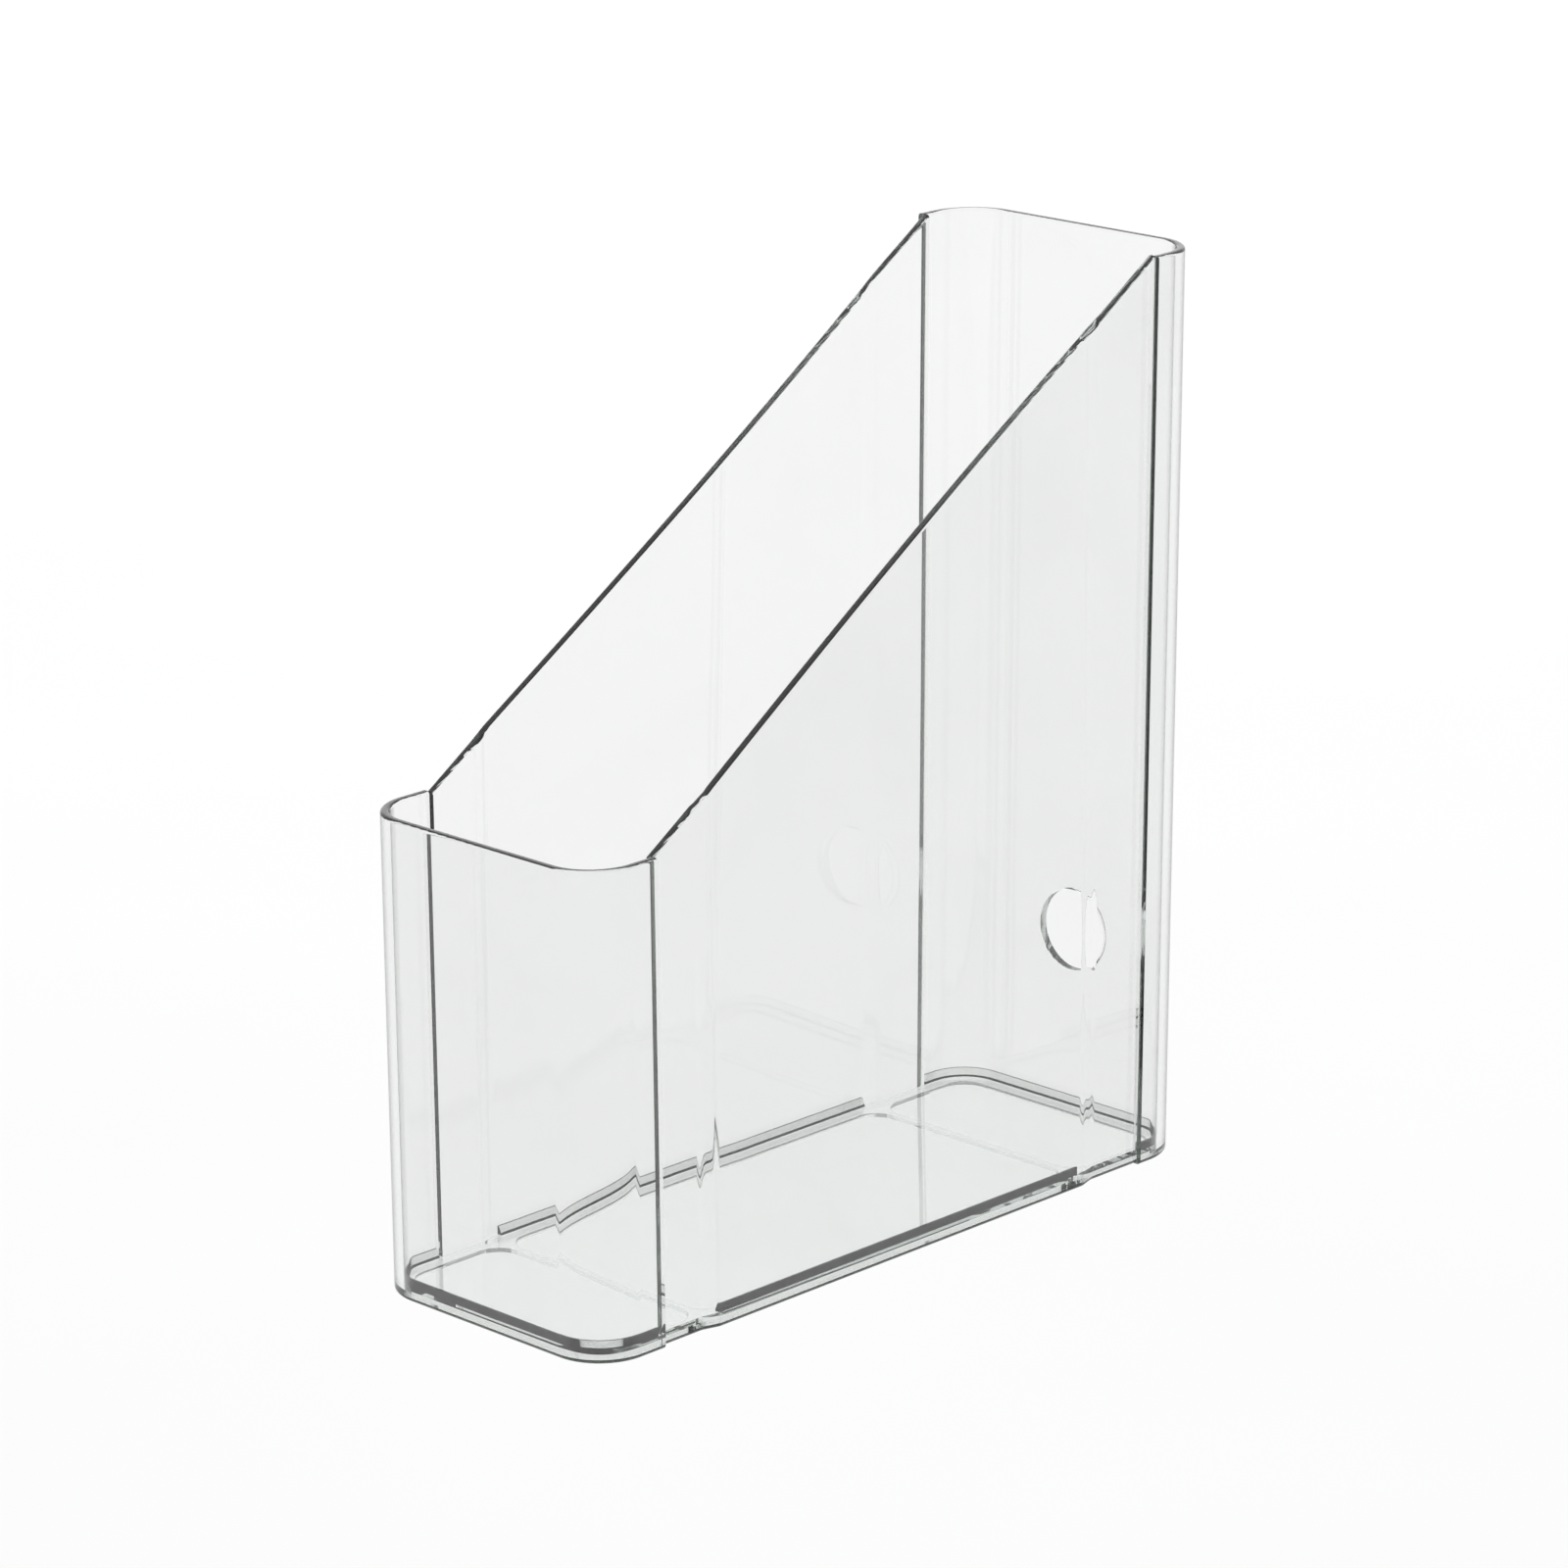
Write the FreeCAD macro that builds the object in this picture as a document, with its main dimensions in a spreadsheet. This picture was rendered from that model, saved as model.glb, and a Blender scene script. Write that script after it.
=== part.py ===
import FreeCAD, Part
import os
import Sketcher

# Desk magazine file: two U-shaped end shells, two fluted side panels bonded
# between them, a base tray inside their foot and four lips on the tray's edge.
# Frame: origin on the ground under the middle, X across the rack (+X is the
# right side seen from the low front end), Y from front to back, Z up.

DIMENSIONS = [
    # alias, value in mm (lean is a ratio), meaning
    ("rack_width", 102.8, "outside width"),
    ("rack_depth", 268.4, "outside depth at the foot"),
    ("rack_height", 300.6, "height of the back end"),
    ("front_height", 155.8, "height of the front end"),
    ("wall", 3.0, "wall thickness"),
    ("corner_radius", 18.0, "outside radius of the upright corners"),
    ("lean", 0.018, "backward lean of the back end per unit of height"),
    ("front_joint", 106.5, "middle to front joint"),
    ("back_joint", 110.5, "middle to back joint at the foot"),
    ("flute_depth", 1.8, "inset of the flutes from the end shells"),
    ("flute_front", 89.2, "middle to inner side of the front flute"),
    ("flute_back", 89.6, "middle to inner side of the back flute"),
    ("flute_slope", 7.2, "width of the ramp beside a flute"),
    ("flute_lean", 0.011, "lean of the back flute per unit of height"),
    ("shoulder_top", 2.5, "inset of the field's ends at full height"),
    ("bow_top", 4.8, "inset of the field's middle at full height"),
    ("rim_round", 1.1, "rounding of the rims"),
    ("foot_round", 2.2, "rounding of the foot"),
    ("tray_top", 4.2, "height of the tray's upper face"),
    ("tray_plate", 2.8, "thickness of the tray's plate over its pockets"),
    ("frame_inset", 8.2, "outside face to the tray's pockets"),
    ("pocket_radius", 8.0, "corner radius of the tray's pockets"),
    ("rib_place", 84.3, "middle to the cross ribs"),
    ("rib_width", 2.5, "thickness of the cross ribs"),
    ("lip_front", 107.9, "middle to the ends of the front lip"),
    ("lip_back", 110.9, "middle to the ends of the back lip"),
    ("lip_top", 7.0, "height of the lips that stand on the tray's edge"),
    ("lip_foot", 1.9, "thickness of a lip at the tray"),
    ("lip_rim", 0.7, "thickness of a lip at its top"),
    ("fit_gap", 0.15, "gap between the tray with its lips and the walls"),
    ("lip_half", 81.4, "half length of a side lip"),
    ("hole_radius", 13.7, "radius of the finger hole"),
    ("hole_height", 64.2, "height of the finger hole's centre"),
    ("cut_margin", 20.0, "how far the slope's cut runs past the panel"),
]

doc = FreeCAD.newDocument("magazine_file")
sheet = doc.addObject("Spreadsheet::Sheet", "sizes")
for row, (alias, value, meaning) in enumerate(DIMENSIONS, start=1):
    sheet.set(f"A{row}", alias)
    sheet.set(f"B{row}", str(value))
    sheet.set(f"C{row}", meaning)
    sheet.setAlias(f"B{row}", alias)
doc.recompute()

HALF = "sizes.rack_width / 2"
HALF_DEPTH = "sizes.rack_depth / 2"
TILT_AT_TOP = "sizes.lean * sizes.rack_height"
FRONT_STOP = "(sizes.front_joint + sizes.fit_gap)"
BACK_STOP = "(sizes.back_joint + sizes.lean * sizes.lip_top + sizes.fit_gap)"
LEVEL_TOLERANCE = 0.01
PLACE_TOLERANCE = 0.1


def number(expression):
    """Value of an expression written in terms of the sheet."""
    for alias, _, _ in DIMENSIONS:
        expression = expression.replace(f"sizes.{alias}", f"({sheet.get(alias)})")
    return float(FreeCAD.Units.parseQuantity(expression).Value)


def new_body(name):
    """A sub-part, moved so that the origin is under the middle of the whole box."""
    body = doc.addObject("PartDesign::Body", name)
    body.Label = name
    body.setExpression("Placement.Base.y", f"-({TILT_AT_TOP}) / 2")
    return body


def origin_plane(body, role):
    for feature in body.Origin.OriginFeatures:
        if feature.Role == role:
            return feature
    raise ValueError(role)


def new_sketch(body, name, role, height=None):
    """A sketch on one of the body's origin planes, raised by an expression."""
    sketch = body.newObject("Sketcher::SketchObject", name)
    sketch.AttachmentSupport = [(origin_plane(body, role), "")]
    sketch.MapMode = "FlatFace"
    if height is not None:
        sketch.setExpression("AttachmentOffset.Base.z", height)
    doc.recompute()
    return sketch


def draw_loop(sketch, corners):
    """Closed outline through corners (x, y, arc), each size an expression.

    arc is None for a straight side to the next corner, or the pair (radius
    expression, +1 for a left turn or -1 for a right turn) for an arc that
    runs on smoothly from the side before.
    """
    points = [FreeCAD.Vector(number(x), number(y), 0) for x, y, _ in corners]
    sides = []
    for index, (_, _, arc) in enumerate(corners):
        start = points[index]
        end = points[(index + 1) % len(points)]
        if arc is None:
            sides.append(sketch.addGeometry(Part.LineSegment(start, end)))
            continue
        radius = number(arc[0])
        chord = end - start
        offset = max(radius ** 2 - (chord.Length / 2) ** 2, 0.0) ** 0.5
        left = FreeCAD.Vector(-chord.y, chord.x, 0).normalize()
        centre = (start + end) * 0.5 + left * offset * arc[1]
        middle = centre - left * radius * arc[1]
        sides.append(sketch.addGeometry(Part.Arc(start, middle, end)))
    turned = [arc is not None and arc[1] < 0 for _, _, arc in corners]
    for index, side in enumerate(sides):
        x, y, _ = corners[index]
        following = (index + 1) % len(sides)
        start_vertex = 2 if turned[index] else 1
        end_vertex = 1 if turned[index] else 2
        next_vertex = 2 if turned[following] else 1
        joint = "Coincident" if corners[following][2] is None else "Tangent"
        sketch.addConstraint(Sketcher.Constraint(
            joint, side, end_vertex, sides[following], next_vertex))
        for kind, text in (("DistanceX", x), ("DistanceY", y)):
            place = sketch.addConstraint(Sketcher.Constraint(
                kind, side, start_vertex, number(text)))
            sketch.setExpression(f"Constraints[{place}]", text)


def add_feature(body, kind, name, sketch):
    feature = body.newObject(kind, name)
    feature.Profile = (sketch, [""])
    return feature


def round_edges(body, name, radius, wanted):
    """Fillet of the body's edges for which wanted(edge) is true."""
    doc.recompute()
    base = body.Tip
    chosen = [f"Edge{number_of}" for number_of, edge in enumerate(base.Shape.Edges, start=1)
              if wanted(edge)]
    if not chosen:
        raise ValueError(f"{name} found no edges")
    fillet = body.newObject("PartDesign::Fillet", name)
    fillet.Base = (base, chosen)
    fillet.setExpression("Radius", radius)
    doc.recompute()
    return fillet


def is_level(edge, height):
    """True when the edge's ends and middle all lie at one height."""
    middle = edge.valueAt((edge.FirstParameter + edge.LastParameter) / 2)
    levels = [vertex.Z for vertex in edge.Vertexes] + [middle.z]
    return all(abs(level - height) < LEVEL_TOLERANCE for level in levels)


def u_outline(end, joint, inset, thickness):
    """Corners of a U strip: end is -1 for the front and +1 for the back.

    The strip's outer side is inset from the rack's outside by inset.
    """
    half = f"({HALF} - {inset})"
    reach = f"({HALF_DEPTH} - {inset})"
    radius = f"(sizes.corner_radius - {inset})"
    inner = f"({radius} - {thickness})"
    back = f"{end} * "
    turn = end
    straight = f"({half} - {radius})"
    bend = f"({reach} - {radius})"
    face = f"({half} - {thickness})"
    bottom = f"({reach} - {thickness})"
    return [
        (half, back + joint, None),
        (half, back + bend, (radius, turn)),
        (straight, back + reach, None),
        (f"-{straight}", back + reach, (radius, turn)),
        (f"-{half}", back + bend, None),
        (f"-{half}", back + joint, None),
        (f"-{face}", back + joint, None),
        (f"-{face}", back + bend, (inner, -turn)),
        (f"-{straight}", back + bottom, None),
        (straight, back + bottom, (inner, -turn)),
        (face, back + bend, None),
        (face, back + joint, None),
    ]


def end_shell(name, end, joint, height, leaning):
    """A U-shaped end wall with rounded rim and foot."""
    body = new_body(name)
    plan = new_sketch(body, f"{name}_plan", "XY_Plane")
    draw_loop(plan, u_outline(end, joint, "0", "sizes.wall"))
    pad = add_feature(body, "PartDesign::Pad", f"{name}_wall", plan)
    pad.setExpression("Length", height)
    if leaning:
        pad.UseCustomVector = True
        pad.Direction = FreeCAD.Vector(0, number("sizes.lean"), 1)
        pad.setExpression("Direction.y", "sizes.lean")
        pad.AlongSketchNormal = True
    top = number(height)
    wall = number("sizes.wall")
    half = number(HALF) - PLACE_TOLERANCE
    reach = number(HALF_DEPTH) - PLACE_TOLERANCE
    outer_radius = number("sizes.corner_radius") - wall / 2
    round_edges(body, f"{name}_rim", "sizes.rim_round",
                lambda edge: is_level(edge, top) and edge.Length > 2 * wall)

    def outer_foot(edge):
        """True for the sides and the round corners of the outer foot."""
        centre = edge.BoundBox.Center
        on_side = abs(centre.x) > half or abs(centre.y) > reach
        on_corner = edge.Curve.TypeId == "Part::GeomCircle" and edge.Curve.Radius > outer_radius
        return is_level(edge, 0.0) and (on_side or on_corner)

    round_edges(body, f"{name}_foot", "sizes.foot_round", outer_foot)
    return body


def panel_stations(raised):
    """Outer side of a side panel at the foot, or at full height when raised."""
    flute = f"({HALF} - sizes.flute_depth)"
    tilt = f"({TILT_AT_TOP})" if raised else "0"
    flute_tilt = "(sizes.flute_lean * sizes.rack_height)" if raised else "0"
    shoulder = "sizes.shoulder_top" if raised else "0"
    middle = "sizes.bow_top" if raised else "0"
    return [
        (flute, "-sizes.front_joint"),
        (flute, "-sizes.flute_front"),
        (f"({HALF} - {shoulder})", "-(sizes.flute_front - sizes.flute_slope)"),
        (f"({HALF} - ({shoulder} + {middle} * 3) / 4)", "-(sizes.flute_front / 2)"),
        (f"({HALF} - {middle})", "0"),
        (f"({HALF} - ({shoulder} + {middle} * 3) / 4)", f"(sizes.flute_back / 2 + {flute_tilt} / 2)"),
        (f"({HALF} - {shoulder})", f"(sizes.flute_back - sizes.flute_slope + {flute_tilt})"),
        (flute, f"(sizes.flute_back + {flute_tilt})"),
        (flute, f"(sizes.back_joint + {tilt})"),
    ]


def panel_plan(stations, side):
    """Closed plan of a side panel: outer side forwards, inner side backwards."""
    loop = stations + [(f"({x} - sizes.wall)", y) for x, y in reversed(stations)]
    return [(f"{side} * {x}", y, None) for x, y in loop]


def side_panel(name, side):
    """A fluted side wall, lofted because its middle bows in towards the top."""
    body = new_body(name)
    foot = new_sketch(body, f"{name}_foot_plan", "XY_Plane")
    draw_loop(foot, panel_plan(panel_stations(False), side))
    top = new_sketch(body, f"{name}_top_plan", "XY_Plane", "sizes.rack_height")
    draw_loop(top, panel_plan(panel_stations(True), side))
    loft = add_feature(body, "PartDesign::AdditiveLoft", f"{name}_wall", foot)
    loft.Sections = [(top, [""])]
    loft.Ruled = True
    doc.recompute()

    cut = new_sketch(body, f"{name}_slope_outline", "YZ_Plane")
    rise = "(sizes.rack_height - sizes.front_height)"
    run = f"(sizes.back_joint + {TILT_AT_TOP} + sizes.front_joint)"
    above = "(sizes.rack_height + sizes.cut_margin)"
    start = "-(sizes.front_joint + sizes.cut_margin)"
    draw_loop(cut, [
        (start, f"(sizes.front_height - sizes.cut_margin * {rise} / {run})", None),
        (f"(sizes.back_joint + {TILT_AT_TOP})", "sizes.rack_height", None),
        (f"(sizes.back_joint + {TILT_AT_TOP})", above, None),
        (start, above, None),
    ])
    pocket = add_feature(body, "PartDesign::Pocket", f"{name}_slope", cut)
    pocket.Type = "ThroughAll"
    pocket.Midplane = True
    return body


def base_tray():
    """Floor plate that fits inside the walls, with three pockets below."""
    name = "base_tray"
    body = new_body(name)
    plan = new_sketch(body, f"{name}_plan", "XY_Plane")
    edge = f"({HALF} - sizes.wall - sizes.fit_gap)"
    flute = f"({HALF} - sizes.flute_depth - sizes.wall - sizes.fit_gap)"
    end = f"({HALF_DEPTH} - sizes.wall - sizes.fit_gap)"
    radius = "(sizes.corner_radius - sizes.wall - sizes.fit_gap)"
    bend_x = f"({edge} - {radius})"
    bend_y = f"({end} - {radius})"
    draw_loop(plan, [
        (edge, f"-{FRONT_STOP}", None),
        (flute, f"-{FRONT_STOP}", None),
        (flute, "-sizes.flute_front", None),
        (edge, "-sizes.lip_half", None),
        (edge, "sizes.lip_half", None),
        (flute, "sizes.flute_front", None),
        (flute, BACK_STOP, None),
        (edge, BACK_STOP, None),
        (edge, bend_y, (radius, 1)),
        (bend_x, end, None),
        (f"-{bend_x}", end, (radius, 1)),
        (f"-{edge}", bend_y, None),
        (f"-{edge}", BACK_STOP, None),
        (f"-{flute}", BACK_STOP, None),
        (f"-{flute}", "sizes.flute_front", None),
        (f"-{edge}", "sizes.lip_half", None),
        (f"-{edge}", "-sizes.lip_half", None),
        (f"-{flute}", "-sizes.flute_front", None),
        (f"-{flute}", f"-{FRONT_STOP}", None),
        (f"-{edge}", f"-{FRONT_STOP}", None),
        (f"-{edge}", f"-{bend_y}", (radius, 1)),
        (f"-{bend_x}", f"-{end}", None),
        (bend_x, f"-{end}", (radius, 1)),
        (edge, f"-{bend_y}", None),
    ])
    pad = add_feature(body, "PartDesign::Pad", f"{name}_block", plan)
    pad.setExpression("Length", "sizes.tray_top")

    side = f"({HALF} - sizes.frame_inset)"
    reach = f"({HALF_DEPTH} - sizes.frame_inset)"
    near_rib = "(sizes.rib_place - sizes.rib_width / 2)"
    far_rib = "(sizes.rib_place + sizes.rib_width / 2)"
    spans = [("front", f"-{reach}", f"-{far_rib}"), ("middle", f"-{near_rib}", near_rib),
             ("back", far_rib, reach)]
    for label, low, high in spans:
        pocket_plan = new_sketch(body, f"{name}_{label}_outline", "XY_Plane")
        draw_loop(pocket_plan, rounded_rectangle(side, low, high, "sizes.pocket_radius"))
        pocket = add_feature(body, "PartDesign::Pocket", f"{name}_{label}_pocket", pocket_plan)
        pocket.setExpression("Length", "sizes.tray_top - sizes.tray_plate")
        pocket.Reversed = True
        doc.recompute()
    return body


def rounded_rectangle(half, low, high, radius):
    return [
        (half, f"{low} + {radius}", None),
        (half, f"{high} - {radius}", (radius, 1)),
        (f"{half} - {radius}", high, None),
        (f"-({half} - {radius})", high, (radius, 1)),
        (f"-{half}", f"{high} - {radius}", None),
        (f"-{half}", f"{low} + {radius}", (radius, 1)),
        (f"-({half} - {radius})", low, None),
        (f"{half} - {radius}", low, (radius, 1)),
    ]


def lip(name, corners_of):
    """A lip on the tray's edge, thinner at its top than at the tray."""
    body = new_body(name)
    low = new_sketch(body, f"{name}_foot_plan", "XY_Plane", "sizes.tray_top")
    draw_loop(low, corners_of("sizes.lip_foot"))
    high = new_sketch(body, f"{name}_rim_plan", "XY_Plane", "sizes.lip_top")
    draw_loop(high, corners_of("sizes.lip_rim"))
    loft = add_feature(body, "PartDesign::AdditiveLoft", f"{name}_bar", low)
    loft.Sections = [(high, [""])]
    loft.Ruled = True
    doc.recompute()
    return body


def end_lip(name, end, joint):
    """A C-shaped lip round the inside of an end shell."""
    inset = "(sizes.wall + sizes.fit_gap)"
    return lip(name, lambda thickness: u_outline(end, joint, inset, thickness))


def side_lip(name, side):
    """A straight lip along the middle field of a side panel."""
    outer = f"({HALF} - sizes.wall - sizes.fit_gap)"

    def corners(thickness):
        inner = f"({outer} - {thickness})"
        return [
            (f"{side} * {outer}", "-sizes.lip_half", None),
            (f"{side} * {outer}", "sizes.lip_half", None),
            (f"{side} * {inner}", "sizes.lip_half", None),
            (f"{side} * {inner}", "-sizes.lip_half", None),
        ]

    return lip(name, corners)


def finger_hole(body):
    """Round hole through the back wall, low down on the middle line."""
    sketch = new_sketch(body, "finger_hole_outline", "XZ_Plane")
    circle = sketch.addGeometry(Part.Circle(
        FreeCAD.Vector(0, number("sizes.hole_height"), 0), FreeCAD.Vector(0, 0, 1),
        number("sizes.hole_radius")))
    place = sketch.addConstraint(Sketcher.Constraint("Radius", circle, number("sizes.hole_radius")))
    sketch.setExpression(f"Constraints[{place}]", "sizes.hole_radius")
    sketch.addConstraint(Sketcher.Constraint("PointOnObject", circle, 3, -2))
    place = sketch.addConstraint(Sketcher.Constraint(
        "DistanceY", circle, 3, number("sizes.hole_height")))
    sketch.setExpression(f"Constraints[{place}]", "sizes.hole_height")
    pocket = add_feature(body, "PartDesign::Pocket", "finger_hole", sketch)
    pocket.Type = "ThroughAll"
    pocket.Midplane = True
    doc.recompute()


def check(bodies):
    """Stop when a feature failed or a piece isn't one valid solid."""
    doc.recompute()
    for item in doc.Objects:
        if "Invalid" in item.State or "Error" in item.State:
            raise RuntimeError(f"{item.Label} failed: {item.State}")
    for body in bodies:
        if body.Shape.isNull() or not body.Shape.isValid() or len(body.Shape.Solids) != 1:
            raise RuntimeError(f"{body.Label} isn't one valid solid")


front_shell = end_shell("front_end_shell", -1, "sizes.front_joint", "sizes.front_height", False)
back_shell = end_shell("back_end_shell", 1, "sizes.back_joint", "sizes.rack_height", True)
finger_hole(back_shell)
pieces = [
    front_shell,
    back_shell,
    side_panel("left_side_panel", -1),
    side_panel("right_side_panel", 1),
    base_tray(),
    end_lip("front_tray_lip", -1, "sizes.lip_front"),
    end_lip("back_tray_lip", 1, "sizes.lip_back"),
    side_lip("left_tray_lip", -1),
    side_lip("right_tray_lip", 1),
]
check(pieces)
os.makedirs("parts", exist_ok=True)
for piece in pieces:
    piece.Shape.exportStep(f"parts/{piece.Label}.step")
    print(piece.Label, round(piece.Shape.Volume / 1000, 2), "cm3")
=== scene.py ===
"""Clear plastic magazine file: moulded walls with rounded rims, and a clear tray with lips."""

import math

import bmesh
import bpy
from bpy.props import FloatProperty, FloatVectorProperty, IntProperty, PointerProperty
from mathutils import Matrix, Vector


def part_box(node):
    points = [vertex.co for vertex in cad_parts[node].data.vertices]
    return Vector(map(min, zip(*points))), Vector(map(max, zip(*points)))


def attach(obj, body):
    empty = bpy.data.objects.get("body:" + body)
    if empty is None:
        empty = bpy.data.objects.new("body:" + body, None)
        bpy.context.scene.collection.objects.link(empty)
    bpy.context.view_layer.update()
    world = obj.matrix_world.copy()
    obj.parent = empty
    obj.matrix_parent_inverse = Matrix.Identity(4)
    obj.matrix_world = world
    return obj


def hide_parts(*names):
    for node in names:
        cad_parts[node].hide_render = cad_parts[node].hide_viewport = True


bl_info = {
    "name": "Clear Magazine File",
    "version": (1, 0, 0),
    "blender": (4, 5, 0),
    "location": "3D View > Sidebar > Magazine File",
    "description": "Moulded clear walls, tray, lips and studio for a desk magazine file",
    "category": "Object",
}

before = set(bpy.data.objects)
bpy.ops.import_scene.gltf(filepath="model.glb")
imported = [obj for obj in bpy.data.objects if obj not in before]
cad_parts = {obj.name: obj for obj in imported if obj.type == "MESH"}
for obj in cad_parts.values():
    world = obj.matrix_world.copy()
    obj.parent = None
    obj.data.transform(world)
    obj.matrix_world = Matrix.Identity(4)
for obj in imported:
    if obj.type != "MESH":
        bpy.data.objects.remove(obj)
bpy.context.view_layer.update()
FRONT_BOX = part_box("front_end_shell")
BACK_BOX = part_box("back_end_shell")
PANEL_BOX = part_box("right_side_panel")

HALF_WIDTH = FRONT_BOX[1].x
FRONT_END = FRONT_BOX[0].y
FRONT_JOINT = FRONT_BOX[1].y
FRONT_TOP = FRONT_BOX[1].z
BACK_JOINT = BACK_BOX[0].y
BACK_JOINT_TOP = PANEL_BOX[1].y
BACK_TOP = BACK_BOX[1].z
LEAN = (BACK_JOINT_TOP - BACK_JOINT) / BACK_TOP
BACK_END = BACK_BOX[1].y - LEAN * BACK_TOP
MIDDLE = (FRONT_END + BACK_END) / 2

TOUCH = 0.000001      # points this close are one place along the foot
MERGE = 0.00001       # doubles this close are merged
NEAR = 0.0001         # points this close lie in one plane
NUDGE = 0.00002       # sets moved points apart from those still to be picked
LEVEL_REACH = 0.0003  # how far thickening tilts the foot and the top of a leaning skin
SLOPE_REACH = 0.0004  # how far thickening lifts points off the sloping rim

RIM_STEPS = 5
HOLE_SIDES = 96
HOLE_EDGE_STEPS = 3
RAMP_STEPS = 10
FIELD_STEPS = 24
SMOOTH_ANGLE = math.radians(28)

CAMERA_PLACE = (1.2773, -1.3005, 0.6993)
CAMERA_PAN = math.radians(46.221)
CAMERA_TILT = math.radians(72.575)
CAMERA_ROLL = math.radians(-1.083)
CAMERA_LENS = 139.74
CAMERA_SHIFT = (0.1067, 0.0334)
LIGHT_BOUNCES = 28
FLOOR_SIZE = 14.0
FLOOR_DROP = 0.0001   # keeps the floor's face apart from the foot's


# ---------------------------------------------------------------- user sizes

class WallSettings(bpy.types.PropertyGroup):
    thickness: FloatProperty(
        name="Wall", description="Thickness of the moulded walls",
        default=0.003, min=0.001, unit="LENGTH")
    corner: FloatProperty(
        name="Corner radius", description="Outside radius of the upright corners",
        default=0.018, min=0.004, unit="LENGTH")
    rim: FloatProperty(
        name="Rim rounding", description="Radius of the rounded upper edges",
        default=0.0011, min=0.0001, unit="LENGTH")
    foot: FloatProperty(
        name="Foot rounding", description="Radius of the rounded outer edge at the foot",
        default=0.0016, min=0.0001, unit="LENGTH")
    corner_steps: IntProperty(
        name="Corner steps", description="Faces round each upright corner",
        default=24, min=4, max=64)


class PanelSettings(bpy.types.PropertyGroup):
    flute_depth: FloatProperty(
        name="Flute depth", description="How far the flutes are set in from the end shells",
        default=0.0018, min=0.0, unit="LENGTH")
    front_flute: FloatProperty(
        name="Front flute", description="Middle to the inner side of the front flute",
        default=0.0892, unit="LENGTH")
    back_flute: FloatProperty(
        name="Back flute", description="Middle to the inner side of the back flute",
        default=0.0896, unit="LENGTH")
    ramp: FloatProperty(
        name="Ramp", description="Width of the ramp beside a flute",
        default=0.0072, unit="LENGTH")
    flute_lean: FloatProperty(
        name="Flute lean", description="Backward lean of the back flute per unit of height",
        default=0.011)
    shoulder: FloatProperty(
        name="Shoulder", description="Inset of the field's ends at full height",
        default=0.0025, unit="LENGTH")
    bow: FloatProperty(
        name="Bow", description="Inset of the field's middle at full height",
        default=0.0048, unit="LENGTH")


class HoleSettings(bpy.types.PropertyGroup):
    radius: FloatProperty(
        name="Radius", description="Radius of the finger hole",
        default=0.0137, min=0.002, unit="LENGTH")
    height: FloatProperty(
        name="Height", description="Height of the finger hole's centre",
        default=0.0642, min=0.01, unit="LENGTH")
    rounding: FloatProperty(
        name="Edge rounding", description="Radius of the hole's two edges",
        default=0.0005, min=0.00005, unit="LENGTH")


class PlasticSettings(bpy.types.PropertyGroup):
    clear: FloatVectorProperty(
        name="Clear plastic", description="Tint of the walls",
        subtype="COLOR", size=3, min=0.0, max=1.0, default=(0.935, 0.939, 0.936))
    tray_clear: FloatVectorProperty(
        name="Tray plastic", description="Tint of the tray and its lips",
        subtype="COLOR", size=3, min=0.0, max=1.0, default=(0.87, 0.883, 0.873))
    haze: FloatProperty(
        name="Haze", description="Share of light kept where the plastic is handled and slightly dull",
        default=0.978, min=0.0, max=1.0, subtype="FACTOR")
    # painted shade: this near-black tint darkens the plastic where it is seen at a grazing angle, in
    # place of dark surroundings reflected there
    edge: FloatVectorProperty(
        name="Edge tint", description="Tint where the plastic turns away and is seen along its skin",
        subtype="COLOR", size=3, min=0.0, max=1.0, default=(0.08, 0.086, 0.083))
    # painted shadow: the near-black foot tint stands in for the contact shadow under the rounded foot
    # on the desk
    foot: FloatVectorProperty(
        name="Foot tint", description="Tint of the rounded foot that stands on the desk",
        subtype="COLOR", size=3, min=0.0, max=1.0, default=(0.035, 0.039, 0.034))
    depth_tint: FloatVectorProperty(
        name="Depth tint", description="Colour that long ways through the plastic turn to",
        subtype="COLOR", size=3, min=0.0, max=1.0, default=(0.62, 0.66, 0.635))
    density: FloatProperty(
        name="Wall density", description="How fast light is lost inside the walls, per metre",
        default=22.0, min=0.0)
    tray_density: FloatProperty(
        name="Tray density", description="How fast light is lost inside the tray, per metre",
        default=16.0, min=0.0)


class StudioSettings(bpy.types.PropertyGroup):
    floor: FloatVectorProperty(
        name="Floor", description="Colour of the studio floor",
        subtype="COLOR", size=3, min=0.0, max=1.0, default=(0.9, 0.9, 0.9))
    key: FloatProperty(
        name="Overhead light", description="Power of the large soft light overhead",
        default=8.0, unit="POWER")
    fill: FloatProperty(
        name="Back light", description="Power of the soft light behind the file",
        default=8.0, unit="POWER")
    sky: FloatProperty(
        name="Room light", description="Brightness of the room above",
        default=1.0, min=0.0)
    wall_light: FloatProperty(
        name="Room walls", description="Brightness of the room at eye level",
        default=0.9, min=0.0)


SETTINGS = (
    ("file_walls", WallSettings),
    ("file_panels", PanelSettings),
    ("file_hole", HoleSettings),
    ("file_plastic", PlasticSettings),
    ("file_studio", StudioSettings),
)


# ---------------------------------------------------------------- modelling by hand

def start_piece():
    """Object mode with nothing selected, ready for a new primitive."""
    if bpy.context.object is not None and bpy.context.object.mode != "OBJECT":
        bpy.ops.object.mode_set(mode="OBJECT")
    bpy.ops.object.select_all(action="DESELECT")


def focus(piece):
    """Selects one object and makes it active."""
    start_piece()
    piece.select_set(True)
    bpy.context.view_layer.objects.active = piece


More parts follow.
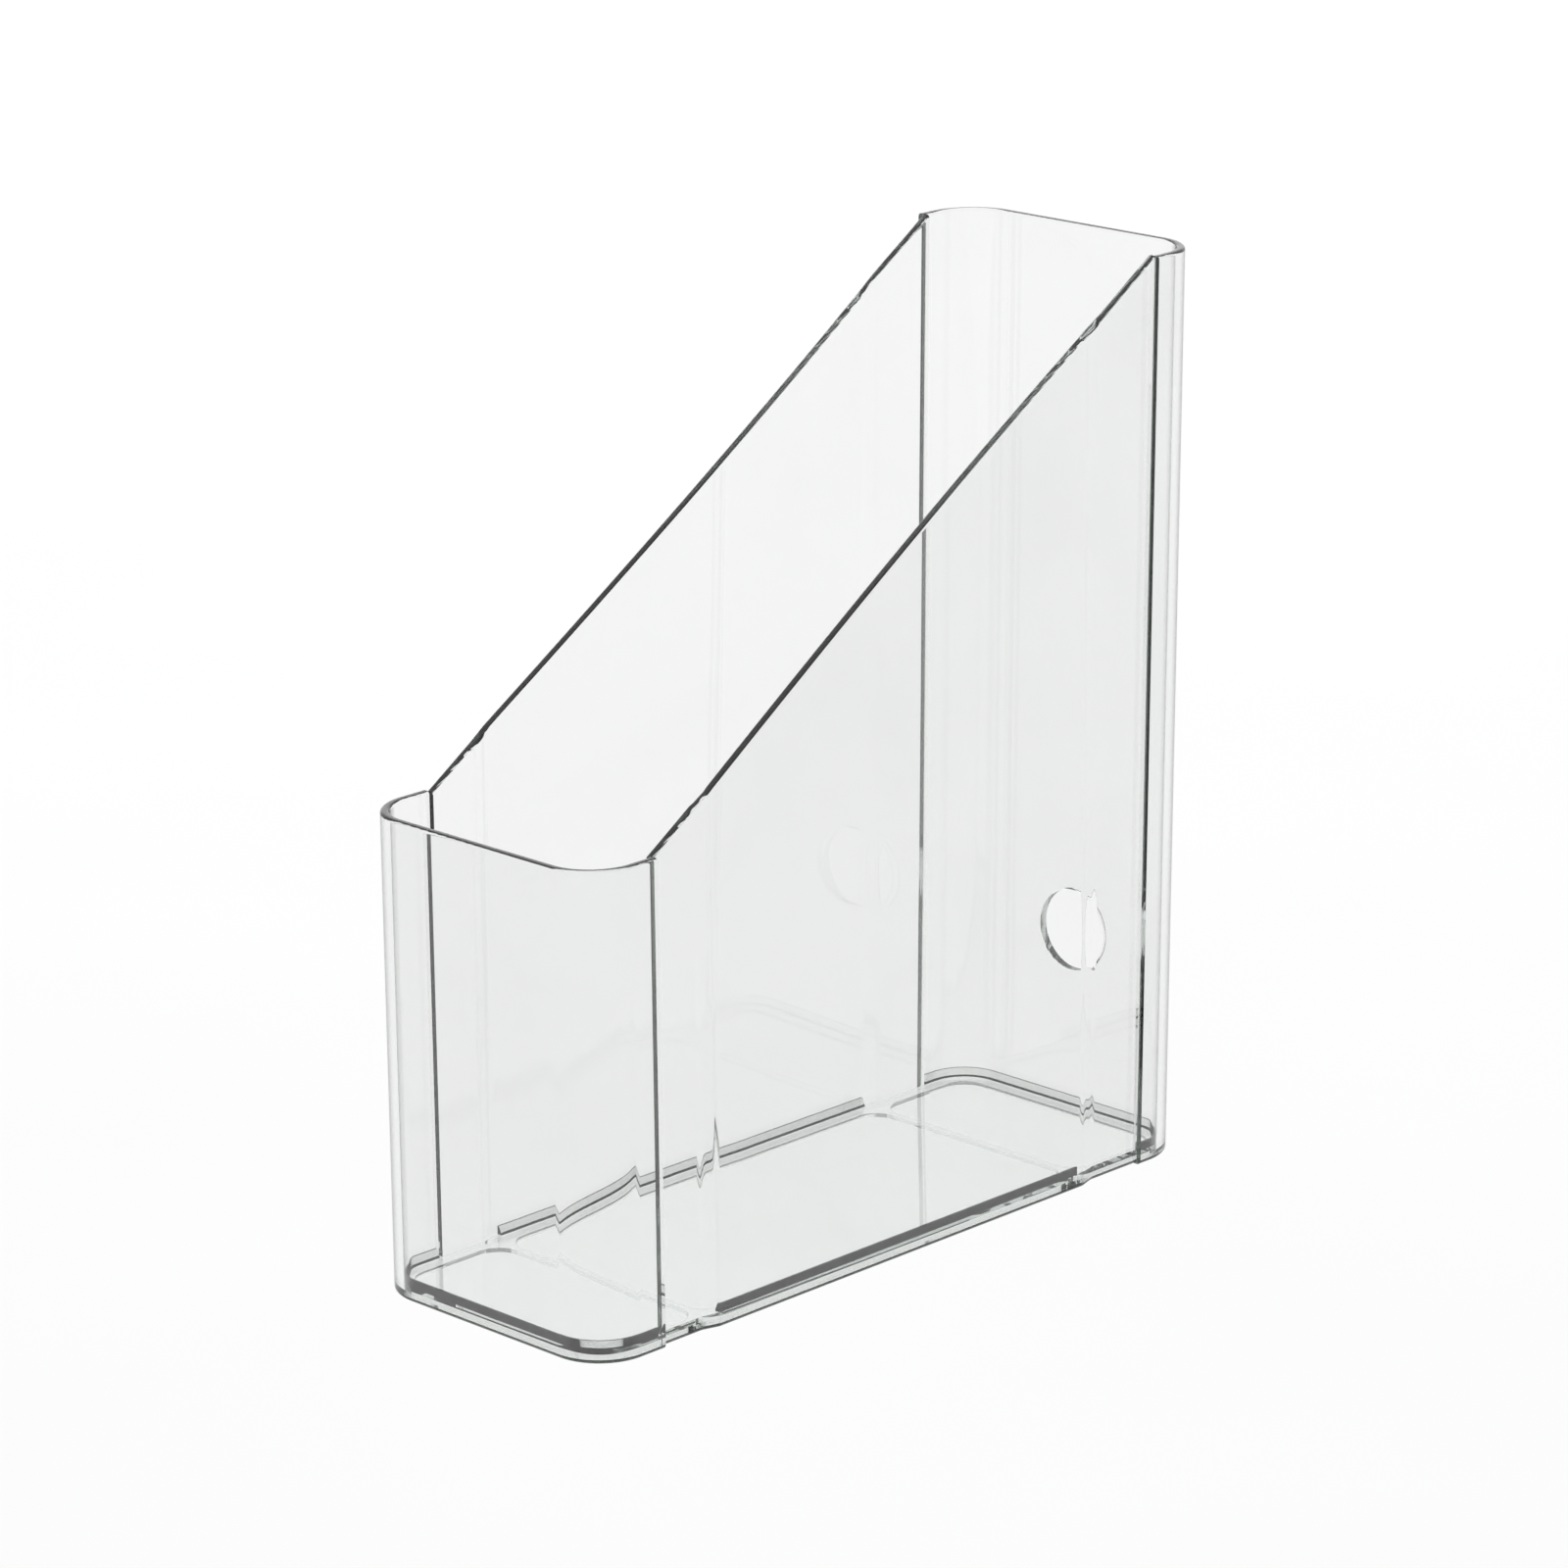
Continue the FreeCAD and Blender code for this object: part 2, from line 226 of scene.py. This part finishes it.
def pick(piece, kind, wanted):
    """In edit mode, selects the vertices, edges or faces for which wanted is true."""
    bpy.ops.object.mode_set(mode="EDIT")
    bpy.context.tool_settings.mesh_select_mode = (kind == "verts", kind == "edges", kind == "faces")
    mesh = bmesh.from_edit_mesh(piece.data)
    for group in (mesh.faces, mesh.edges, mesh.verts):
        for element in group:
            element.select = False
    mesh.select_flush(False)
    chosen = [element for element in getattr(mesh, kind) if wanted(element)]
    for element in chosen:
        element.select_set(True)
    bmesh.update_edit_mesh(piece.data)
    if not chosen:
        raise RuntimeError(f"{piece.name}: nothing to select among its {kind}")


def settle():
    """Moves the object's place, turn and scale into its mesh."""
    bpy.ops.object.mode_set(mode="OBJECT")
    bpy.ops.object.transform_apply(location=True, rotation=True, scale=True)


def thicken(piece, thickness):
    """Gives an open skin its wall, inwards from the outer side."""
    bpy.ops.object.mode_set(mode="OBJECT")
    solid = piece.modifiers.new("wall", "SOLIDIFY")
    solid.thickness = thickness
    solid.offset = -1.0
    solid.use_even_offset = True
    bpy.ops.object.modifier_apply(modifier=solid.name)


def level_ends(piece, low, high):
    """Flattens the foot and the top where thickening a leaning skin tilted them."""
    bpy.ops.object.mode_set(mode="OBJECT")
    for vertex in piece.data.vertices:
        if vertex.co.z < low + LEVEL_REACH:
            vertex.co.z = low
        elif vertex.co.z > high - LEVEL_REACH:
            vertex.co.z = high


def merge_and_face_out():
    """Merges doubles and turns every face of the closed shell outwards."""
    bpy.ops.object.mode_set(mode="EDIT")
    bpy.ops.mesh.select_all(action="SELECT")
    bpy.ops.mesh.remove_doubles(threshold=MERGE)
    bpy.ops.mesh.normals_make_consistent(inside=False)
    bpy.ops.object.mode_set(mode="OBJECT")


def round_off(piece, radius, steps, wanted):
    """Bevels the edges for which wanted is true."""
    pick(piece, "edges", wanted)
    bpy.ops.mesh.bevel(offset=radius, segments=steps, affect="EDGES", clamp_overlap=True)
    bpy.ops.object.mode_set(mode="OBJECT")


def let_light_through(piece):
    """Clear plastic throws no shadow on the floor around or under it."""
    piece.visible_shadow = False
    piece.visible_diffuse = False


def finish_piece(piece, name, *nodes):
    """Names a finished wall, gives it its plastic with painted contact shadow on its rounded foot, and
    rides it on the frame.
    """
    piece.name = name
    piece.data.name = name
    piece.data.materials.clear()
    piece.data.materials.append(shared_plastic("walls"))
    # Painted contact shadow: the faces of the rounded foot take the near-black foot plastic.
    piece.data.materials.append(shared_plastic("foot"))
    painted_foot_shadow_top = bpy.context.scene.file_walls.foot + NEAR
    for face in piece.data.polygons:
        highest = max(piece.data.vertices[corner].co.z for corner in face.vertices)
        face.material_index = 1 if highest < painted_foot_shadow_top else 0
    bpy.ops.object.shade_smooth_by_angle(angle=SMOOTH_ANGLE)
    flat = piece.modifiers.new("flat_faces", "WEIGHTED_NORMAL")
    flat.weight = 90
    flat.keep_sharp = True
    bpy.ops.object.modifier_apply(modifier=flat.name)
    let_light_through(piece)
    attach(piece, "root")
    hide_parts(*nodes)
    start_piece()


# ---------------------------------------------------------------- shader maths

class Socket:
    """A node output that can be used in Python arithmetic."""

    def __init__(self, tree, output):
        self.tree = tree
        self.output = output

    def math(self, operation, *values):
        made = self.tree.nodes.new("ShaderNodeMath")
        made.operation = operation
        for socket, value in zip(made.inputs, values):
            feed(self.tree, socket, value)
        return Socket(self.tree, made.outputs[0])

    def __add__(self, other):
        return self.math("ADD", self, other)

    def __radd__(self, other):
        return self.math("ADD", other, self)

    def __mul__(self, other):
        return self.math("MULTIPLY", self, other)

    def __rmul__(self, other):
        return self.math("MULTIPLY", other, self)


def feed(tree, socket, value):
    """Links a Socket, or sets a plain value."""
    if isinstance(value, Socket):
        tree.links.new(value.output, socket)
    else:
        socket.default_value = value


def socket_in_use(sockets, name):
    """The socket of this name that the node's settings leave in use, or the first if name is None."""
    return next(socket for socket in sockets if socket.enabled and name in (None, socket.name))


def make_node(tree, kind, settings=None, output=None, **inputs):
    """Adds a node, its settings first, then its inputs by name, and returns one of its outputs."""
    made = tree.nodes.new(kind)
    for key, value in (settings or {}).items():
        if key == "stops":
            for stop, (place, colour) in zip(made.color_ramp.elements, value):
                stop.position = place
                stop.color = colour
        else:
            setattr(made, key, value)
    for key, value in inputs.items():
        feed(tree, socket_in_use(made.inputs, key.replace("_", " ")), value)
    return Socket(tree, socket_in_use(made.outputs, output))


def new_material(name):
    """An empty node material with its surface shader."""
    material = bpy.data.materials.new(name)
    material.use_nodes = True
    return material, material.node_tree, material.node_tree.nodes["Principled BSDF"]


def clear_plastic(name, plastic, clear, streak_scale, density):
    """Polished clear moulding: flow waves, faint handling haze, a grey-green depth, and painted shade
    where the skin is seen at a grazing angle.
    """
    material, tree, shader = new_material(name)
    shader.inputs["IOR"].default_value = 1.5
    shader.inputs["Transmission Weight"].default_value = 1.0
    shader.inputs["Specular IOR Level"].default_value = 0.5

    place = make_node(tree, "ShaderNodeTexCoord", output="Object")
    flow = make_node(tree, "ShaderNodeMapping", Vector=place, Scale=streak_scale)
    waves = make_node(tree, "ShaderNodeTexNoise", Vector=flow, Scale=1.0, Detail=2.0, Roughness=0.4)
    smears = make_node(tree, "ShaderNodeTexNoise", Vector=place, Scale=14.0, Detail=5.0, Roughness=0.62)

    hazy = tuple(channel * plastic.haze for channel in clear)
    haze = make_node(tree, "ShaderNodeMapRange", {"interpolation_type": "SMOOTHSTEP"},
                     Value=smears, From_Min=0.45, From_Max=0.8)
    tint = make_node(tree, "ShaderNodeValToRGB", {"stops": (
        (0.0, (*clear, 1.0)), (1.0, (*hazy, 1.0)))}, Fac=haze)
    # Painted shade: the colour turns to the edge tint where the skin is seen at a grazing angle, in
    # place of dark surroundings reflected at rims, corners and the hole's edges.
    facing = make_node(tree, "ShaderNodeLayerWeight", output="Facing", Blend=0.5)
    edge = make_node(tree, "ShaderNodeMapRange", {"interpolation_type": "SMOOTHSTEP"},
                     Value=facing, From_Min=0.56, From_Max=0.9)
    grazing_painted_shade = make_node(tree, "ShaderNodeMix", {"data_type": "RGBA"},
                         Factor=edge, A=tint, B=(*plastic.edge, 1.0))
    feed(tree, shader.inputs["Base Color"], grazing_painted_shade)
    feed(tree, shader.inputs["Roughness"], 0.004 + 0.02 * haze)

    relief = waves + 0.02 * smears
    bump = make_node(tree, "ShaderNodeBump", Strength=0.12, Distance=0.0006, Height=relief)
    feed(tree, shader.inputs["Normal"], bump)

    depth = make_node(tree, "ShaderNodeVolumeAbsorption",
                      Color=(*plastic.depth_tint, 1.0), Density=density)
    feed(tree, tree.nodes["Material Output"].inputs["Volume"], depth)
    return material


def floor_finish(name, colour):
    """Matt studio board with a very faint mottle."""
    material, tree, shader = new_material(name)
    place = make_node(tree, "ShaderNodeTexCoord", output="Object")
    mottle = make_node(tree, "ShaderNodeTexNoise", Vector=place, Scale=3.0, Detail=3.0)
    darker = tuple(channel * 0.985 for channel in colour)
    shade = make_node(tree, "ShaderNodeValToRGB", {"stops": (
        (0.3, (*darker, 1.0)), (0.7, (*colour, 1.0)))}, Fac=mottle)
    feed(tree, shader.inputs["Base Color"], shade)
    shader.inputs["Roughness"].default_value = 0.9
    shader.inputs["Specular IOR Level"].default_value = 0.0
    return material


def shared_plastic(kind):
    """The plastic of the upright walls, the near-black foot plastic that paints contact shadow, and the
    tray plastic, each made once.
    """
    name = f"clear_plastic_{kind}"
    if name in bpy.data.materials:
        return bpy.data.materials[name]
    plastic = bpy.context.scene.file_plastic
    clear, streaks, density = {
        "walls": (plastic.clear, (26.0, 26.0, 5.0), plastic.density),
        # painted contact shadow: the foot plastic is tinted near black
        "foot": (plastic.foot, (26.0, 26.0, 5.0), plastic.density),
        "tray": (plastic.tray_clear, (16.0, 7.0, 16.0), plastic.tray_density),
    }[kind]
    return clear_plastic(name, plastic, clear, streaks, density)


# ---------------------------------------------------------------- pieces

def make_end_shell(walls, joint, end, height, lean):
    """A U-shaped end wall: a box opened on three sides, rounded and thickened."""
    towards = 1.0 if end > joint else -1.0
    start_piece()
    bpy.ops.mesh.primitive_cube_add(
        size=1.0, location=(0.0, (joint + end) / 2, height / 2),
        scale=(2 * HALF_WIDTH, abs(end - joint), height))
    piece = bpy.context.object
    settle()

    pick(piece, "faces", lambda face: abs(face.normal.z) > 0.9 or face.normal.y * towards < -0.9)
    bpy.ops.mesh.delete(type="FACE")
    pick(piece, "edges", lambda edge: all(abs(v.co.y - end) < MERGE for v in edge.verts)
         and abs(edge.verts[0].co.x - edge.verts[1].co.x) < MERGE)
    bpy.ops.mesh.bevel(offset=walls.corner, segments=walls.corner_steps, affect="EDGES")
    if lean:
        pick(piece, "verts", lambda v: v.co.z > height - MERGE)
        bpy.ops.transform.translate(value=(0.0, lean * height, 0.0))
    thicken(piece, walls.thickness)
    level_ends(piece, 0.0, height)
    merge_and_face_out()
    return piece


def outside_depth(point, joint, end, lean, corner):
    """How far inside the shell's outer side a point lies."""
    y = point.y - lean * point.z
    towards = 1.0 if end > joint else -1.0
    bend = end - towards * corner
    across = abs(point.x) - (HALF_WIDTH - corner)
    along = (y - bend) * towards
    if across > 0 and along > 0:
        return corner - math.hypot(across, along)
    return min(HALF_WIDTH - abs(point.x), (end - y) * towards)


def soften_shell(piece, walls, joint, end, height, lean):
    """Rounds the shell's rim and the outer edge of its foot."""
    def at_joint(edge):
        return all(abs(v.co.y - joint - lean * v.co.z) < NEAR for v in edge.verts)

    def on_rim(edge):
        return all(v.co.z > height - MERGE for v in edge.verts) and not at_joint(edge)

    def crosses(edge):
        depths = [outside_depth(v.co, joint, end, lean, walls.corner) for v in edge.verts]
        return abs(depths[0] - depths[1]) > walls.thickness / 2

    def on_foot(edge):
        depths = [outside_depth(v.co, joint, end, lean, walls.corner) for v in edge.verts]
        level = all(v.co.z < TOUCH for v in edge.verts)
        return level and max(depths) < walls.thickness / 3 and not at_joint(edge)

    round_off(piece, walls.rim, RIM_STEPS, lambda edge: on_rim(edge) and not crosses(edge))
    round_off(piece, walls.foot, RIM_STEPS, on_foot)


class FILE_OT_front_shell(bpy.types.Operator):
    """Low rounded end wall"""
    bl_idname = "magazine_file.front_shell"
    bl_label = "Front end shell"

    def execute(self, context):
        walls = context.scene.file_walls
        piece = make_end_shell(walls, FRONT_JOINT, FRONT_END, FRONT_TOP, 0.0)
        soften_shell(piece, walls, FRONT_JOINT, FRONT_END, FRONT_TOP, 0.0)
        finish_piece(piece, "front_shell_moulding", "front_end_shell")
        return {"FINISHED"}


class FILE_OT_back_shell(bpy.types.Operator):
    """Tall rounded end wall that leans back, with its finger hole"""
    bl_idname = "magazine_file.back_shell"
    bl_label = "Back end shell"

    def execute(self, context):
        walls = context.scene.file_walls
        hole = context.scene.file_hole
        piece = make_end_shell(walls, BACK_JOINT, BACK_END, BACK_TOP, LEAN)
        cut_finger_hole(piece, walls, hole)
        soften_shell(piece, walls, BACK_JOINT, BACK_END, BACK_TOP, LEAN)
        finish_piece(piece, "back_shell_moulding", "back_end_shell")
        return {"FINISHED"}


def cut_finger_hole(piece, walls, hole):
    """Cuts the finger hole through the back wall and softens its edges."""
    wall_place = BACK_END + LEAN * hole.height
    start_piece()
    bpy.ops.mesh.primitive_circle_add(
        vertices=HOLE_SIDES, radius=hole.radius, fill_type="NGON",
        location=(0.0, wall_place - 4 * walls.thickness, hole.height),
        rotation=(math.radians(90), 0.0, 0.0))
    cutter = bpy.context.object
    settle()
    bpy.ops.object.mode_set(mode="EDIT")
    bpy.ops.mesh.select_all(action="SELECT")
    bpy.ops.mesh.extrude_region_move(
        TRANSFORM_OT_translate={"value": (0.0, 8 * walls.thickness, 0.0)})
    merge_and_face_out()

    focus(piece)
    cut = piece.modifiers.new("hole", "BOOLEAN")
    cut.operation = "DIFFERENCE"
    cut.solver = "EXACT"
    cut.object = cutter
    bpy.ops.object.modifier_apply(modifier=cut.name)
    bpy.data.objects.remove(cutter, do_unlink=True)

    def round_the_hole(edge):
        level = all(abs(math.hypot(v.co.x, v.co.z - hole.height) - hole.radius) < NEAR
                    for v in edge.verts)
        return level and abs(edge.verts[0].co.y - edge.verts[1].co.y) < walls.thickness / 2

    round_off(piece, hole.rounding, HOLE_EDGE_STEPS, round_the_hole)


def soft_ramp(t, bend=0.18):
    """A straight ramp from 0 to 1 whose two ends are rounded over the share bend."""
    slope = 1 / (1 - bend)
    if t < bend:
        return slope * t * t / (2 * bend)
    if t > 1 - bend:
        return 1 - slope * (1 - t) ** 2 / (2 * bend)
    return slope * (t - bend / 2)


def panel_insets(panels, y_foot):
    """Inset of the outer side at the foot and at full height, for one place at the foot."""
    along = y_foot - MIDDLE
    if along < 0:
        edge = panels.front_flute
    else:
        edge = panels.back_flute
    inner = edge - panels.ramp
    reach = abs(along)
    if reach >= edge:
        return panels.flute_depth, panels.flute_depth
    share = min(1.0, reach / inner)
    top_field = panels.bow + (panels.shoulder - panels.bow) * share ** 2
    if reach <= inner:
        return 0.0, top_field
    ease = soft_ramp((reach - inner) / panels.ramp)
    foot = panels.flute_depth * ease
    top = panels.shoulder + (panels.flute_depth - panels.shoulder) * ease
    return foot, top


def panel_stations(panels):
    """Places along the foot where the panel's skin turns."""
    places = [FRONT_JOINT]
    for side, edge in ((-1, panels.front_flute), (1, panels.back_flute)):
        places += [MIDDLE + side * (edge - panels.ramp * step / RAMP_STEPS)
                   for step in range(RAMP_STEPS + 1)]
    inner = panels.front_flute - panels.ramp
    places += [MIDDLE + inner * (2 * step / FIELD_STEPS - 1) for step in range(1, FIELD_STEPS)]
    places.append(BACK_JOINT)
    return sorted(set(round(place, 6) for place in places))


def slope_plane():
    """A point and the upward normal of the sloping top edge."""
    low = Vector((0.0, FRONT_JOINT, FRONT_TOP))
    high = Vector((0.0, BACK_JOINT_TOP, BACK_TOP))
    run = high - low
    return low, Vector((0.0, -run.z, run.y)).normalized()


class FILE_OT_side_panels(bpy.types.Operator):
    """Fluted side walls with a sloping rim, modelled on the right and mirrored to the left"""
    bl_idname = "magazine_file.side_panels"
    bl_label = "Side panels"

    def execute(self, context):
        walls = context.scene.file_walls
        panels = context.scene.file_panels
        places = panel_stations(panels)
        outer = [HALF_WIDTH - panel_insets(panels, y)[0] for y in places]
        piece = self.draw_skin(places, outer)
        self.shape_top(piece, panels, places)

        low, up = slope_plane()
        bpy.ops.object.mode_set(mode="EDIT")
        bpy.ops.mesh.select_all(action="SELECT")
        bpy.ops.mesh.bisect(plane_co=low, plane_no=up, clear_outer=True)
        thicken(piece, walls.thickness)
        level_ends(piece, 0.0, BACK_TOP)
        merge_and_face_out()
        self.soften(piece, walls, panels, low, up)

        focus(piece)
        bpy.ops.object.duplicate()
        copy = context.object
        bpy.ops.transform.mirror(constraint_axis=(True, False, False))
        settle()
        merge_and_face_out()
        finish_piece(copy, "left_panel_moulding", "left_side_panel")
        focus(piece)
        finish_piece(piece, "right_panel_moulding", "right_side_panel")
        return {"FINISHED"}

    def draw_skin(self, places, outer):
        """One upright strip, extruded along the foot from place to place."""
        start_piece()
        first = places[1] - places[0]
        bpy.ops.mesh.primitive_plane_add(
            size=1.0, location=(outer[0], places[0] + first / 2, BACK_TOP / 2),
            rotation=(0.0, math.radians(90), 0.0))
        piece = bpy.context.object
        piece.scale = (BACK_TOP, first, 1.0)
        settle()
        pick(piece, "edges", lambda edge: all(v.co.y > places[1] - TOUCH for v in edge.verts))
        for index in range(2, len(places)):
            step = (outer[index] - outer[index - 1], places[index] - places[index - 1], 0.0)
            bpy.ops.mesh.extrude_edges_move(TRANSFORM_OT_translate={"value": step})
        bpy.ops.object.mode_set(mode="OBJECT")
        return piece

    def shape_top(self, piece, panels, places):
        """Leans and bows the skin's upper edge, place by place."""
        for y in places:
            foot, top = panel_insets(panels, y)
            share = (y - MIDDLE) / panels.back_flute
            lean = LEAN if y > BACK_JOINT - TOUCH else max(0.0, min(1.0, share)) * panels.flute_lean
            pick(piece, "verts",
                 lambda v: v.co.z > BACK_TOP - MERGE and abs(v.co.y - y) < TOUCH)
            bpy.ops.transform.translate(value=(foot - top, lean * BACK_TOP + NUDGE, 0.0))
        pick(piece, "verts", lambda v: v.co.z > BACK_TOP - MERGE)
        bpy.ops.transform.translate(value=(0.0, -NUDGE, 0.0))
        pick(piece, "faces", lambda face: True)
        mesh = bmesh.from_edit_mesh(piece.data)
        if sum(face.normal.x for face in mesh.faces) < 0:
            bpy.ops.mesh.flip_normals()
        bpy.ops.object.mode_set(mode="OBJECT")

    def soften(self, piece, walls, panels, low, up):
        """Rounds the sloping rim and the outer edge of the foot."""
        def runs_along(edge):
            way = edge.verts[1].co - edge.verts[0].co
            return abs(way.y) > abs(way.x)

        def on_slope(edge):
            return all(abs((v.co - low).dot(up)) < SLOPE_REACH for v in edge.verts)

        def outer_foot(edge):
            if not all(v.co.z < TOUCH for v in edge.verts) or not runs_along(edge):
                return False
            middle = (edge.verts[0].co + edge.verts[1].co) / 2
            foot = panel_insets(panels, middle.y)[0]
            return HALF_WIDTH - foot - middle.x < walls.thickness / 3

        round_off(piece, walls.rim, RIM_STEPS, lambda edge: on_slope(edge) and runs_along(edge))
        round_off(piece, walls.foot, RIM_STEPS, outer_foot)


class FILE_OT_tray(bpy.types.Operator):
    """Clear plastic for the tray and its four lips"""
    bl_idname = "magazine_file.tray"
    bl_label = "Tray and lips"

    def execute(self, context):
        material = shared_plastic("tray")
        for node in ("base_tray", "front_tray_lip", "back_tray_lip", "left_tray_lip", "right_tray_lip"):
            let_light_through(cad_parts[node])
            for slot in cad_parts[node].material_slots:
                slot.material = material
        return {"FINISHED"}


class FILE_OT_studio(bpy.types.Operator):
    """Pale floor, soft lights and the camera"""
    bl_idname = "magazine_file.studio"
    bl_label = "Studio"

    def execute(self, context):
        studio = context.scene.file_studio
        start_piece()
        bpy.ops.mesh.primitive_plane_add(size=FLOOR_SIZE, location=(0.0, 0.0, -FLOOR_DROP))
        floor = context.object
        settle()
        floor.name = "studio_floor"
        floor.data.materials.append(floor_finish("studio_board", studio.floor))
        start_piece()

        self.area_light("overhead_light", studio.key, (2.6, 2.6), (-0.3, 0.5, 2.4), (0.0, 0.0, 0.1))
        self.area_light("back_light", studio.fill, (3.0, 1.8), (-2.1, 2.0, 1.1), (0.0, 0.0, 0.3))
        self.room(context, studio)
        self.camera(context)
        scene = context.scene
        scene.view_settings.view_transform = "Standard"
        scene.view_settings.look = "None"
        scene.cycles.max_bounces = LIGHT_BOUNCES
        scene.cycles.transmission_bounces = LIGHT_BOUNCES
        scene.cycles.glossy_bounces = LIGHT_BOUNCES
        scene.cycles.transparent_max_bounces = 16
        scene.cycles.caustics_refractive = False
        scene.cycles.caustics_reflective = False
        scene.cycles.use_denoising = True
        return {"FINISHED"}

    def area_light(self, name, power, size, place, target):
        start_piece()
        bpy.ops.object.light_add(type="AREA", location=place)
        light = bpy.context.object
        light.name = name
        light.data.energy = power
        light.data.shape = "RECTANGLE"
        light.data.size, light.data.size_y = size
        light.visible_camera = False
        aim = Vector(target) - Vector(place)
        light.rotation_euler = aim.to_track_quat("-Z", "Y").to_euler()

    def room(self, context, studio):
        """An evenly bright room, a little less bright at eye level."""
        world = bpy.data.worlds.new("studio_room")
        context.scene.world = world
        world.use_nodes = True
        tree = world.node_tree
        way = make_node(tree, "ShaderNodeTexCoord", output="Generated")
        upwards = make_node(tree, "ShaderNodeSeparateXYZ", output="Z", Vector=way)
        low = studio.wall_light
        high = studio.sky
        shade = make_node(tree, "ShaderNodeValToRGB", {"stops": (
            (0.05, (low, low, low * 1.01, 1.0)), (0.75, (high, high, high, 1.0)))},
            Fac=upwards)
        feed(tree, tree.nodes["Background"].inputs["Color"], shade)

    def camera(self, context):
        """A long lens, a little above the rim, seen over the right front corner."""
        start_piece()
        bpy.ops.object.camera_add(location=CAMERA_PLACE)
        camera = context.object
        turn = (Matrix.Rotation(CAMERA_PAN, 3, "Z")
                @ Matrix.Rotation(CAMERA_TILT, 3, "X")
                @ Matrix.Rotation(CAMERA_ROLL, 3, "Z"))
        camera.rotation_euler = turn.to_euler()
        camera.data.sensor_width = 36.0
        camera.data.lens = CAMERA_LENS
        camera.data.shift_x, camera.data.shift_y = CAMERA_SHIFT
        camera.data.clip_end = 100.0
        context.scene.camera = camera
        start_piece()


class FILE_PT_panel(bpy.types.Panel):
    """Sizes, colours and builders of the magazine file"""
    bl_idname = "FILE_PT_panel"
    bl_label = "Magazine File"
    bl_space_type = "VIEW_3D"
    bl_region_type = "UI"
    bl_category = "Magazine File"

    def draw(self, context):
        column = self.layout.column()
        for name, kind in SETTINGS:
            box = column.box()
            group = getattr(context.scene, name)
            for field in kind.__annotations__:
                box.prop(group, field)
        for builder in BUILDERS:
            column.operator(builder.bl_idname)


BUILDERS = (FILE_OT_front_shell, FILE_OT_back_shell, FILE_OT_side_panels, FILE_OT_tray, FILE_OT_studio)


def register():
    for _, kind in SETTINGS:
        bpy.utils.register_class(kind)
    for builder in BUILDERS:
        bpy.utils.register_class(builder)
    bpy.utils.register_class(FILE_PT_panel)
    for name, kind in SETTINGS:
        setattr(bpy.types.Scene, name, PointerProperty(type=kind))


def unregister():
    for name, _ in SETTINGS:
        delattr(bpy.types.Scene, name)
    bpy.utils.unregister_class(FILE_PT_panel)
    for builder in reversed(BUILDERS):
        bpy.utils.unregister_class(builder)
    for _, kind in reversed(SETTINGS):
        bpy.utils.unregister_class(kind)


def main():
    register()
    bpy.ops.magazine_file.front_shell()
    bpy.ops.magazine_file.back_shell()
    bpy.ops.magazine_file.side_panels()
    bpy.ops.magazine_file.tray()
    bpy.ops.magazine_file.studio()


if __name__ == "__main__":
    main()
